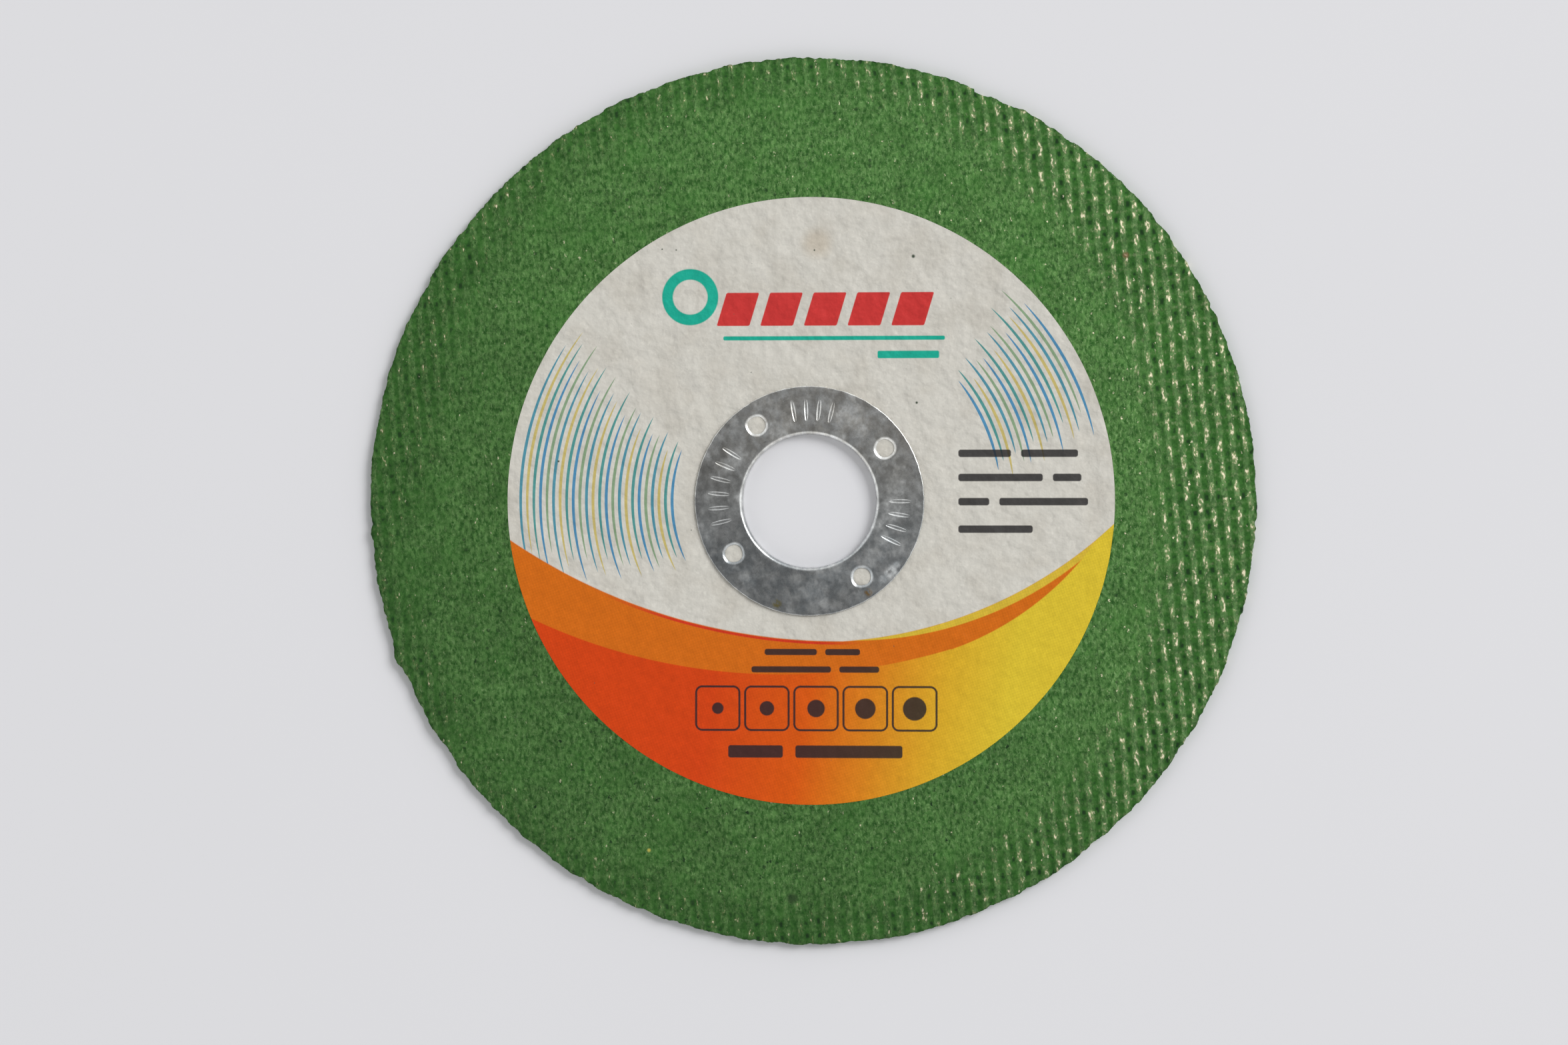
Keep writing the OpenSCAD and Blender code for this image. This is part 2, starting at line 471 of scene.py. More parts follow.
def make_wheel():
    cell = (WARP_PITCH / CELLS_PER_YARN, WEFT_PITCH / CELLS_PER_YARN)
    back = round_sheet(
        "back_face", BACK_Z, RIM_R, WHEEL_HOLE_R, cell, NET_LEAN, RIM_STEPS, ROUND_STEPS
    )
    bpy.ops.object.mode_set(mode="OBJECT")
    wheel = round_sheet(
        "green_wheel", FACE_Z, RIM_R, SEAT_R, cell, NET_LEAN, RIM_STEPS, ROUND_STEPS
    )
    pick_open_edges(wheel, 0.99 * RIM_R, 1.01 * RIM_R)
    for _ in range(RIM_BANDS):
        extrude_to((BACK_Z - FACE_Z) / RIM_BANDS)
    pick_open_edges(wheel, 0.99 * SEAT_R, 1.01 * SEAT_R)
    extrude_to(LABEL_FLOOR_Z - FACE_Z)
    seat_hole_r = WHEEL_HOLE_R + LABEL_FLOOR_Z - BEND_AXIS_Z
    extrude_to(0, seat_hole_r / SEAT_R)
    extrude_to(BEND_AXIS_Z - LABEL_FLOOR_Z, WHEEL_HOLE_R / seat_hole_r)
    extrude_to(BACK_Z - BEND_AXIS_Z)
    bpy.ops.object.mode_set(mode="OBJECT")
    back.select_set(True)
    wheel.select_set(True)
    bpy.context.view_layer.objects.active = wheel
    bpy.ops.object.join()
    bpy.ops.object.mode_set(mode="EDIT")
    close_mesh()
    rows = places(wheel)
    open_net = raise_net(rows)
    mark_net(wheel, rows, open_net)
    wear_rim(rows)
    move_to(wheel, rows)
    bpy.ops.object.shade_smooth_by_angle(angle=SMOOTH_ANGLE)
    return wheel


# Paper label

def make_label():
    cell = (LABEL_CELL, LABEL_CELL)
    label = round_sheet(
        "round_label", LABEL_HIGH.z, LABEL_R, LABEL_HOLE_R, cell, 0, ROUND_STEPS, ROUND_STEPS
    )
    for circle_r in (LABEL_R, LABEL_HOLE_R):
        pick_open_edges(label, 0.99 * circle_r, 1.01 * circle_r)
        extrude_to(LABEL_FLOOR_Z - LABEL_HIGH.z)
    pick_open_edges(label, 0, 2 * LABEL_R)
    bpy.ops.mesh.bridge_edge_loops()
    close_mesh()
    rows = places(label)
    face = np.flatnonzero(np.abs(rows[:, 2] - LABEL_HIGH.z) < SAME_PLANE)
    rows[face, 2] -= DENT_DEPTH * np.clip(noise_sum(rows[face], DENT_MIDDLE, DENT_NOISES), 0, 1)
    move_to(label, rows)
    bpy.ops.object.shade_smooth_by_angle(angle=SMOOTH_ANGLE)
    return label


# Arbor ring

def ring_profile():
    """Half section of the drawn ring: collar, bend and flange of one sheet."""
    return (
        [(BORE_R, COLLAR_END_Z)]
        + arc(BEND_AXIS_R, BEND_AXIS_Z, BEND_R, 180, 90, BEND_STEPS)
        + [(BEND_AXIS_R + BEND_SIDE, FLANGE_Z)]
        + arc(FLANGE_R - EDGE_R, FLANGE_Z - EDGE_R, EDGE_R, 90, 0, BEND_STEPS)
        + [(FLANGE_R, FACE_Z)]
        + arc(BEND_AXIS_R, BEND_AXIS_Z, INNER_BEND_R, 90, 180, BEND_STEPS)
        + [(BORE_R + SHEET_T, COLLAR_END_Z)]
    )


def hole_cutter(angle, seed):
    """A punch whose round shoulder draws the lip in, a little out of round."""
    slope = math.radians(LIP_SLOPE)
    lip = arc(
        MOUTH_R + LIP_R * math.sin(slope),
        FLANGE_Z - LIP_R * math.cos(slope),
        LIP_R,
        90 + LIP_END_SLOPE,
        90 + LIP_SLOPE - LIP_OVERRUN,
        LIP_STEPS,
    )
    profile = [(lip[0][0], FACE_Z - SHEET_T)] + lip + [(lip[-1][0], FLANGE_Z + SHEET_T)]
    cutter = lathe(f"punch_{seed}", profile, PUNCH_STEPS, capped=True)
    rows = places(cutter)
    around = np.arctan2(rows[:, 1], rows[:, 0])
    square, three_sided = OUT_OF_ROUND
    scale = 1 + square * np.cos(4 * around + seed) + three_sided * np.cos(3 * around - 2 * seed)
    rows[:, :2] *= scale[:, None]
    rows[:, 0] += HOLE_CIRCLE_R * math.cos(angle)
    rows[:, 1] += HOLE_CIRCLE_R * math.sin(angle)
    move_to(cutter, rows)
    return cutter


def tick_cutter():
    """All the ticks of the marking punch in one mesh, each a long drop that dips into the flange."""
    deselect_all()
    bpy.ops.mesh.primitive_uv_sphere_add(segments=32, ring_count=24, radius=1)
    cutter = bpy.context.object
    cutter.name = "marking_punch"
    cutter.scale = TICK_HALF_SIZES
    cutter.location = (TICK_CIRCLE_R, 0, FLANGE_Z + TICK_LIFT)
    bpy.ops.object.transform_apply(location=True, rotation=True, scale=True)
    ticks = [cutter]
    for middle, count, step in TICK_GROUPS:
        for i in range(count):
            deselect_all()
            cutter.select_set(True)
            bpy.context.view_layer.objects.active = cutter
            bpy.ops.object.duplicate(linked=False)
            tick = bpy.context.object
            tick.rotation_euler.z = math.radians(middle + (i - (count - 1) / 2) * step)
            bpy.ops.object.transform_apply(location=True, rotation=True, scale=True)
            ticks.append(tick)
    bpy.data.objects.remove(ticks.pop(0))
    for tick in ticks:
        tick.select_set(True)
    bpy.context.view_layer.objects.active = ticks[0]
    bpy.ops.object.join()
    return ticks[0]


def cut_away(piece, cutter):
    """Take the cutter's shape out of a piece and remove the cutter."""
    deselect_all()
    piece.select_set(True)
    bpy.context.view_layer.objects.active = piece
    cut = piece.modifiers.new("cut", "BOOLEAN")
    cut.object = cutter
    cut.solver = "EXACT"
    bpy.ops.object.modifier_apply(modifier=cut.name)
    bpy.data.objects.remove(cutter)


def make_ring():
    ring = lathe("tinned_ring", ring_profile(), RING_STEPS)
    rows = places(ring)
    radius = np.hypot(rows[:, 0], rows[:, 1])
    edge = np.flatnonzero(radius > FLANGE_R - 1.5 * EDGE_R)
    burrs = np.clip(noise_rows(rows[edge], BURR_SIZE, BURR_SEED) + 0.3, 0, 1)
    rows[edge, :2] *= (1 - BURR_DEPTH / FLANGE_R * burrs)[:, None]
    move_to(ring, rows)
    for hole in range(HOLE_COUNT):
        cut_away(ring, hole_cutter(HOLE_ANGLE + 2 * math.pi * hole / HOLE_COUNT, hole))
    cut_away(ring, tick_cutter())
    bpy.ops.object.shade_smooth_by_angle(angle=RING_SMOOTH_ANGLE)
    flat_shading = ring.modifiers.new("flat_shading", "WEIGHTED_NORMAL")
    flat_shading.keep_sharp = True
    bpy.ops.object.modifier_apply(modifier=flat_shading.name)
    return ring


# Material helpers

def srgb(red, green, blue):
    """A colour as a paint chart gives it, 0 to 255, made linear."""
    channels = [value / 255 for value in (red, green, blue)]
    linear = [c / 12.92 if c <= 0.04045 else ((c + 0.055) / 1.055) ** 2.4 for c in channels]
    return (*linear, 1)


class Finish:
    """One material, with short calls that add nodes to it. Places are in millimetres."""

    def __init__(self, name):
        self.material = bpy.data.materials.new(name)
        self.material.use_nodes = True
        self.tree = self.material.node_tree
        self.surface = self.tree.nodes["Principled BSDF"]
        self.coordinates = self.tree.nodes.new("ShaderNodeTexCoord")
        self.place = self.vector("SCALE", self.coordinates.outputs["Object"], scale=1 / MM)

    def feed(self, socket, value):
        if isinstance(value, bpy.types.NodeSocket):
            self.tree.links.new(value, socket)
        else:
            socket.default_value = value

    def set(self, **sockets):
        """Feed the surface shader's sockets, named with underscores for spaces."""
        for name, value in sockets.items():
            self.feed(self.surface.inputs[name.replace("_", " ")], value)

    def math(self, operation, *values, clamp=False):
        node = self.tree.nodes.new("ShaderNodeMath")
        node.operation = operation
        node.use_clamp = clamp
        for socket, value in zip(node.inputs, values):
            self.feed(socket, value)
        return node.outputs[0]

    def vector(self, operation, *values, scale=None):
        node = self.tree.nodes.new("ShaderNodeVectorMath")
        node.operation = operation
        for socket, value in zip(node.inputs, values):
            self.feed(socket, value)
        if scale is not None:
            self.feed(node.inputs["Scale"], scale)
        measured = operation in ("DISTANCE", "LENGTH", "DOT_PRODUCT")
        return node.outputs["Value" if measured else "Vector"]

    def product(self, *values):
        result = values[0]
        for value in values[1:]:
            result = self.math("MULTIPLY", result, value)
        return result

    def parts(self, vector):
        node = self.tree.nodes.new("ShaderNodeSeparateXYZ")
        self.feed(node.inputs[0], vector)
        return node.outputs[:3]

    def joined(self, x, y, z=0.0):
        node = self.tree.nodes.new("ShaderNodeCombineXYZ")
        for socket, value in zip(node.inputs, (x, y, z)):
            self.feed(socket, value)
        return node.outputs[0]

    def wobbly(self, size, reach):
        """The place, pushed about within a reach in lumps of this size, so that edges turn ragged."""
        node = self.tree.nodes.new("ShaderNodeTexNoise")
        self.feed(node.inputs["Vector"], self.place)
        node.inputs["Scale"].default_value = 1 / size
        return self.vector("ADD", self.place, self.vector("SCALE", node.outputs["Color"], scale=reach))

    def stretched(self, turn, along, across, place=None):
        """The place, turned and drawn out, so that a pattern of size 1 gets these two sizes."""
        node = self.tree.nodes.new("ShaderNodeMapping")
        node.vector_type = "TEXTURE"
        self.feed(node.inputs["Vector"], place or self.place)
        node.inputs["Rotation"].default_value = (0, 0, turn)
        node.inputs["Scale"].default_value = (along, across, 1)
        return node.outputs[0]

    def noise(self, size, detail=2.0, roughness=0.5, place=None, swirl=0.0):
        """Noise with lumps of about this size."""
        node = self.tree.nodes.new("ShaderNodeTexNoise")
        self.feed(node.inputs["Vector"], place or self.place)
        node.inputs["Scale"].default_value = 1 / size
        node.inputs["Detail"].default_value = detail
        node.inputs["Roughness"].default_value = roughness
        node.inputs["Distortion"].default_value = swirl
        return node.outputs["Fac"]

    def cells(self, size, place=None):
        """Scattered cells: distance from the middle in cell sizes, and a random number for each."""
        node = self.tree.nodes.new("ShaderNodeTexVoronoi")
        self.feed(node.inputs["Vector"], place or self.place)
        node.inputs["Scale"].default_value = 1 / size
        return node.outputs["Distance"], self.parts(node.outputs["Color"])[0]

    def rise(self, value, low, high):
        """A soft rise from 0 at low to 1 at high, or a fall where low is the larger."""
        node = self.tree.nodes.new("ShaderNodeMapRange")
        node.interpolation_type = "SMOOTHSTEP"
        self.feed(node.inputs["Value"], value)
        node.inputs["From Min"].default_value = min(low, high)
        node.inputs["From Max"].default_value = max(low, high)
        node.inputs["To Min"].default_value = 0.0 if low < high else 1.0
        node.inputs["To Max"].default_value = 1.0 if low < high else 0.0
        return node.outputs[0]

    def towards(self, angle, low, high):
        """A soft rise across the piece in one direction, between two distances from the bore."""
        way = (math.cos(angle), math.sin(angle), 0)
        return self.rise(self.vector("DOT_PRODUCT", self.place, way), low, high)

    def specks(self, size, speck, share, place=None):
        """Round specks of this radius in a share of scattered cells."""
        distance, chance = self.cells(size, place)
        core = self.rise(distance, speck / size, 0.6 * speck / size)
        return self.product(core, self.math("LESS_THAN", chance, share))

    def cracks(self, size, width):
        """Thin joints between rounded grains of this size, as a cover from 0 to 1."""
        node = self.tree.nodes.new("ShaderNodeTexVoronoi")
        node.feature = "DISTANCE_TO_EDGE"
        self.feed(node.inputs["Vector"], self.wobbly(size, size))
        node.inputs["Scale"].default_value = 1 / size
        return self.rise(node.outputs["Distance"], width / size, 0)

    def strokes(self, turn, length, width, share):
        """Fine straight strokes in one direction, from 0 to 1; a larger share leaves fewer."""
        drawn_out = self.stretched(turn, length, width)
        return self.rise(self.noise(1, 1, 0.4, drawn_out), share, share + 0.06)

    def blend(self, amount, base, top):
        """Lay one colour over another by an amount."""
        node = self.tree.nodes.new("ShaderNodeMix")
        node.data_type = "RGBA"
        self.feed(node.inputs["Factor"], amount)
        self.feed(node.inputs[6], base)
        self.feed(node.inputs[7], top)
        return node.outputs[2]

    def beyond(self, circle, soft=0.08):
        """1 outside a round edge, given as centre and radius."""
        (x, y), radius = circle
        flat = self.vector("MULTIPLY", self.place, (1, 1, 0))
        return self.rise(self.vector("DISTANCE", flat, (x, y, 0)), radius - soft, radius + soft)

    def spot(self, circle):
        """1 in the middle of a small round mark, fading to its edge."""
        centre, radius = circle
        return self.math("SUBTRACT", 1.0, self.beyond((centre, 0.7 * radius), 0.4 * radius))

    def bar(self, left, right, middle, thickness, slant=0.0, corner=0.2, soft=0.06):
        """A bar with rounded corners, upright or slanted."""
        x, y, _ = self.parts(self.vector("SUBTRACT", self.place, ((left + right) / 2, middle, 0)))
        across = self.math("MULTIPLY_ADD", y, -slant, x)
        corner = min(corner, thickness / 2)
        inset = ((right - left) / 2 - corner, thickness / 2 - corner, 0)
        past = self.vector("SUBTRACT", self.vector("ABSOLUTE", self.joined(across, y)), inset)
        reach = self.vector("LENGTH", self.vector("MAXIMUM", past, (0, 0, 0)))
        return self.rise(reach, corner + soft, corner - soft)

    def any_of(self, masks):
        result = masks[0]
        for mask in masks[1:]:
            result = self.math("MAXIMUM", result, mask)
        return result

    def ramp(self, value, stops):
        """Colours laid along a value from 0 to 1."""
        node = self.tree.nodes.new("ShaderNodeValToRGB")
        self.feed(node.inputs[0], value)
        for _ in stops[2:]:
            node.color_ramp.elements.new(0.5)
        for element, (position, colour) in zip(node.color_ramp.elements, stops):
            element.position = position
            element.color = colour
        return node.outputs[0]

    def shade(self, colour, value, low, high):
        """Darken or lighten a colour, from low to high times, as a value goes from 0 to 1."""
        factor = self.math("MULTIPLY_ADD", value, high - low, low)
        return self.vector("SCALE", colour, scale=factor)

    def bump(self, height, depth, strength=1.0):
        """Surface normal of a height from 0 to 1 that stands for this many millimetres."""
        node = self.tree.nodes.new("ShaderNodeBump")
        node.inputs["Strength"].default_value = strength
        node.inputs["Distance"].default_value = depth * MM
        self.feed(node.inputs["Height"], height)
        self.feed(self.surface.inputs["Normal"], node.outputs[0])

    def wear(self, piece):
        """Put this finish on a piece."""
        piece.data.materials.clear()
        piece.data.materials.append(self.material)


# Green abrasive with the net in it

PIT_GREEN = srgb(24, 50, 24)
OPENING_GREEN = srgb(56, 106, 42)


def net_lines(finish):
    """How openly the net lies, distances from its warp and weft yarns, and where the warp is on top."""
    net = finish.tree.nodes.new("ShaderNodeUVMap")
    net.uv_map = "net"
    shown = finish.tree.nodes.new("ShaderNodeAttribute")
    shown.attribute_name = "open_net"
    open_net = shown.outputs["Fac"]
    wander = finish.math("MULTIPLY_ADD", finish.noise(3, 3), 0.4, -0.2)
    warp, weft, _ = finish.parts(net.outputs[0])
    warp = finish.math("ADD", warp, wander)
    weft = finish.math("ADD", weft, wander)
    off_warp = finish.math("PINGPONG", warp, 0.5)
    off_weft = finish.math("PINGPONG", weft, 0.5)
    turn_over = finish.math("ADD", weft, finish.math("ROUND", warp))
    warp_over = finish.math("COSINE", finish.math("MULTIPLY", turn_over, math.pi))
    return open_net, off_warp, off_weft, warp_over


def grain_colour(finish, bare_and_lit_side):
    """Grain and resin with fibres, cracks, pits and damp patches: colour, grain and flecks."""
    deep = srgb(36, 79, 27)
    middle = srgb(81, 122, 64)
    light = srgb(120, 156, 99)
    fibre = srgb(146, 170, 118)
    grain_place = finish.stretched(NET_LEAN, 0.48, 0.8)
    grain = finish.rise(finish.noise(1, 3, 0.55, grain_place), 0.32, 0.68)
    fleck_place = finish.stretched(NET_LEAN, 0.32, 0.6)
    flecks = finish.rise(finish.noise(1, 3, 0.6, fleck_place, 0.4), 0.5, 0.78)
    colour = finish.blend(grain, deep, middle)
    # Painted light: the light flecks show more towards the lamp's side
    fleck_lit_share = finish.math("MULTIPLY_ADD", bare_and_lit_side, 0.35, 0.6)
    colour = finish.blend(finish.product(flecks, fleck_lit_share), colour, light)
    fibres = finish.any_of([finish.strokes(turn, 0.5, 0.15, 0.64) for turn in (0.1, 1.3, 1.7, 2.4)])
    colour = finish.blend(finish.math("MULTIPLY", fibres, 0.17), colour, fibre)
    cracked = finish.product(finish.cracks(0.7, 0.09), finish.rise(finish.noise(2.6, 2), 0.4, 0.62))
    colour = finish.blend(finish.math("MULTIPLY", cracked, 0.3), colour, PIT_GREEN)
    pits = finish.product(finish.specks(1.4, 0.28, 0.3), finish.noise(0.3))
    _, y, _ = finish.parts(finish.place)
    ragged = finish.wobbly(0.35, 0.9)
    low_pits = finish.product(
        finish.specks(1.5, 0.3, 0.4, ragged),
        finish.rise(finish.noise(0.3), 0.35, 0.6),
        finish.rise(y, 5, -35),
    )
    pitted = finish.math("MULTIPLY", finish.any_of([pits, low_pits]), 1.1, clamp=True)
    colour = finish.blend(pitted, colour, PIT_GREEN)
    damp = finish.rise(finish.noise(5, 3, 0.6), 0.48, 0.66)
    colour = finish.blend(finish.math("MULTIPLY", damp, 0.3), colour, OPENING_GREEN)
    return colour, grain, flecks


def net_colour(finish, colour, bare_and_lit_side, lines):
    """Grooves between the yarns lie deep and dark, yarns carry a pale haze and broken glints of pale
    glass with painted highlights.
    """
    opening_deep = srgb(38, 86, 28)
    haze = srgb(120, 156, 104)
    straw = srgb(172, 164, 112)
    pale = srgb(242, 232, 200)
    open_net, off_warp, off_weft, warp_over = lines
    past_weft = finish.math("MULTIPLY_ADD", finish.rise(off_weft, 0.02, 0.25), 0.4, 0.6)
    in_groove = finish.product(open_net, finish.rise(off_warp, 0.2, 0.36), past_weft, 0.88)
    lifted = finish.rise(finish.noise(0.5, 3, 0.6), 0.35, 0.65)
    colour = finish.blend(in_groove, colour, finish.blend(lifted, opening_deep, OPENING_GREEN))
    deep_opening = finish.product(
        open_net,
        finish.rise(off_warp, 0.28, 0.44),
        finish.rise(off_weft, 0.2, 0.4),
        finish.rise(finish.noise(1.3, 3), 0.47, 0.6),
    )
    colour = finish.blend(finish.math("MULTIPLY", deep_opening, 0.9), colour, PIT_GREEN)
    uneven = finish.noise(0.7, 3, 0.6)
    knuckle = finish.rise(finish.math("MULTIPLY_ADD", warp_over, 0.16, uneven), 0.42, 0.7)
    on_warp = finish.product(finish.rise(off_warp, 0.3, 0.08), open_net)
    hazy = finish.math("MULTIPLY_ADD", knuckle, 0.5, 0.2)
    # Pale yarn haze under the resin, painted stronger towards the lamp's side
    hazy_side = finish.math("MULTIPLY_ADD", bare_and_lit_side, 0.78, 0.02)
    colour = finish.blend(finish.product(on_warp, hazy_side, hazy), colour, haze)
    crumbs = finish.noise(1, 2, 0.5, finish.stretched(NET_LEAN, 0.3, 0.6))
    # Crumbs of noise, lifted on the barer side where the glints are painted
    bare_lit_crumbs = finish.math("MULTIPLY_ADD", bare_and_lit_side, 0.12, crumbs)
    weft_crest = finish.product(finish.rise(off_weft, 0.16, 0.06), open_net, 0.05)
    warp_crest = finish.product(finish.rise(off_warp, 0.24, 0.08), knuckle, open_net)
    carriers = finish.any_of([warp_crest, weft_crest])
    straw_shown = finish.product(finish.rise(bare_lit_crumbs, 0.52, 0.66), carriers, 0.4)
    colour = finish.blend(straw_shown, colour, straw)
    splinter_glints = finish.specks(0.9, 0.17, 0.25, finish.wobbly(0.2, 0.35))
    loose_glints = finish.product(splinter_glints, finish.rise(bare_lit_crumbs, 0.56, 0.72), 0.7)
    sliver_glint_place = finish.stretched(NET_LEAN, 0.6, 1.5, finish.wobbly(0.3, 0.6))
    sliver_glints = finish.product(
        finish.specks(1, 0.2, 0.3, sliver_glint_place),
        finish.rise(finish.noise(2.2, 2), 0.4, 0.6),
        finish.rise(finish.noise(0.35, 2), 0.42, 0.62),
        finish.math("MULTIPLY_ADD", bare_and_lit_side, 0.6, 0.4),
    )
    on_yarns = finish.product(finish.rise(bare_lit_crumbs, 0.61, 0.79), carriers, 1.4)
    # Pale glass of yarns and chips with painted highlights, more of them towards the lamp's side
    glints = finish.any_of([on_yarns, loose_glints, sliver_glints])
    return finish.blend(glints, colour, pale)


def face_tone(finish, colour, open_net):
    """Uneven tone over the face, painted light towards the lamp, its stray marks and painted shade along
    the rim.
    """
    colour = finish.shade(colour, finish.noise(1.6, 3), 0.66, 1.34)
    colour = finish.shade(colour, finish.noise(7, 2), 0.86, 1.14)
    # Painted light: the face lighter towards the lamp and darker away from it
    colour = finish.shade(colour, finish.towards(PAINTED_LIGHT_ANGLE, -55, 55), 0.79, 1.13)
    colour = finish.shade(colour, open_net, 1.16, 0.98)
    for mark, tint in (
        (WHEEL_SMUDGE, srgb(34, 48, 30)),
        (WHEEL_YELLOW_SPECK, srgb(206, 190, 90)),
        (WHEEL_BROWN_SPOT, srgb(120, 72, 50)),
    ):
        colour = finish.blend(finish.math("MULTIPLY", finish.spot(mark), 0.7), colour, tint)
    # Painted shade: the outermost rim darkened
    rim_painted_shade = finish.beyond(((0, 0), RIM_R / MM - 0.25), 0.25)
    return finish.shade(colour, rim_painted_shade, 1.0, 0.72)


def green_abrasive():
    finish = Finish("green_abrasive_grain")
    lines = net_lines(finish)
    # Barer net and painted light at once: on this side the net lies barest and its glints, haze and
    # flecks are painted strongest, towards the lamp
    bare_and_lit_side = finish.math("MULTIPLY_ADD", finish.towards(BARE_AND_LIT_ANGLE, -15, 48), 0.9, 0.1)
    colour, grain, flecks = grain_colour(finish, bare_and_lit_side)
    colour = net_colour(finish, colour, bare_and_lit_side, lines)
    colour = face_tone(finish, colour, lines[0])
    fine_grain = finish.noise(0.25, 3, 0.6)
    height = finish.math("MULTIPLY_ADD", fine_grain, 0.7, finish.math("MULTIPLY", flecks, 0.3))
    finish.bump(height, 0.08, 0.7)
    finish.set(
        Base_Color=colour,
        Roughness=finish.math("MULTIPLY_ADD", grain, 0.2, 0.6),
        Specular_IOR_Level=0.15,
    )
    return finish


# Printed paper

SWEEP_ORANGE = srgb(210, 107, 22)
STREAK_YELLOW = srgb(214, 182, 58)
LINE_RED = srgb(206, 54, 30)
BAR_RED = srgb(202, 56, 54)
TEAL = srgb(28, 170, 146)
DARK_PRINT = srgb(42, 40, 42)
FADE_STOPS = (
    (0.0, srgb(211, 68, 18)),
    (0.33, srgb(216, 90, 16)),
    (0.55, srgb(217, 131, 28)),
    (0.78, srgb(218, 171, 41)),
    (1.0, srgb(219, 192, 52)),
)
ARC_STOPS = ((0.0, srgb(36, 130, 176)), (0.5, srgb(40, 142, 126)), (0.9, srgb(222, 188, 84)))


def below_arcs(finish, left_edge, right_edge, joint):
    """Cover below two arcs that meet at an upright line."""
    x, _, _ = finish.parts(finish.place)
    on_right = finish.math("GREATER_THAN", x, joint)
    on_left = finish.math("LESS_THAN", x, joint)
    return finish.any_of([
        finish.product(on_left, finish.beyond(left_edge)),
        finish.product(on_right, finish.beyond(right_edge)),
    ])


def print_fields(finish, colour):
    """The orange sweep, its yellow streak and the field that fades from red to yellow."""
    x, y, _ = finish.parts(finish.place)
    printed = below_arcs(finish, FIELD_EDGE, FIELD_RIGHT_EDGE, FIELD_JOINT)
    above_streak = finish.math("SUBTRACT", 1.0, finish.beyond(STREAK_EDGE))
    colour = finish.blend(printed, colour, SWEEP_ORANGE)
    colour = finish.blend(finish.product(printed, above_streak), colour, STREAK_YELLOW)
    along = finish.math("MULTIPLY_ADD", y, FADE_LEAN, x)
    span = FADE_RIGHT - FADE_LEFT
    fade = finish.math("MULTIPLY_ADD", along, 1 / span, FADE_SHIFT - FADE_LEFT / span)
    field = finish.ramp(fade, FADE_STOPS)
    field_edge = below_arcs(finish, BAND_EDGE, BAND_RIGHT_EDGE, BAND_JOINT)
    colour = finish.blend(finish.product(printed, field_edge), colour, field)
    centre, radius = FIELD_EDGE
    red_line = finish.product(
        finish.beyond((centre, radius + RED_LINE[0])),
        finish.math("SUBTRACT", 1.0, finish.beyond((centre, radius + RED_LINE[1]))),
        finish.rise(x, *RED_LINE_RIGHT),
        finish.rise(x, *RED_LINE_LEFT),
    )
    colour = finish.blend(red_line, colour, LINE_RED)
    dot_size = DOT_PITCH / (2 * math.pi)
    screen_x, screen_y, _ = finish.parts(finish.stretched(SCREEN_TURN, dot_size, dot_size))
    dots = finish.product(finish.math("SINE", screen_x), finish.math("SINE", screen_y), printed)
    return finish.shade(colour, dots, 1.0, 1.2), printed


def arc_fan(finish, side, first_r, count, middle_angle, turn_each, half_angle):
    """Thin arcs about the bore on one side, each a little further round: cover and arc number."""
    x, y, _ = finish.parts(finish.place)
    radius = finish.vector("LENGTH", finish.vector("MULTIPLY", finish.place, (1, 1, 0)))
    angle = finish.math("ARCTAN2", y, finish.math("MULTIPLY", x, side))
    steps = finish.math("MULTIPLY_ADD", radius, 1 / ARC_PITCH, -first_r / ARC_PITCH)
    number = finish.math("ROUND", steps)
    off_step = finish.math("ABSOLUTE", finish.math("SUBTRACT", steps, number))
    off_line = finish.math("MULTIPLY", off_step, ARC_PITCH)
    middle = finish.math("MULTIPLY_ADD", number, math.radians(turn_each), math.radians(middle_angle))
    stray = finish.math("SINE", finish.math("MULTIPLY", number, 2.4))
    middle = finish.math("MULTIPLY_ADD", stray, ARC_STRAY, middle)
    off_middle = finish.math("DIVIDE", finish.math("SUBTRACT", angle, middle), math.radians(half_angle))
    taper = finish.math("SUBTRACT", 1.0, finish.math("MULTIPLY", off_middle, off_middle), clamp=True)
    half_width = finish.math("MULTIPLY", finish.math("SQRT", taper), ARC_HALF_WIDTH)
    drawn = finish.rise(finish.math("SUBTRACT", half_width, off_line), 0.0, 0.06)
    counted = finish.product(
        finish.math("GREATER_THAN", number, -0.5),
        finish.math("LESS_THAN", number, count - 0.5),
    )
    return finish.product(drawn, counted), number


def print_arcs(finish, colour):
    """Two fans of arcs in blue, green and yellow by turns."""
    for fan in ARC_FANS:
        drawn, number = arc_fan(finish, *fan)
        tint = finish.ramp(finish.math("FRACT", finish.math("MULTIPLY", number, 0.4)), ARC_STOPS)
        colour = finish.blend(finish.math("MULTIPLY", drawn, 0.9), colour, tint)
    return colour


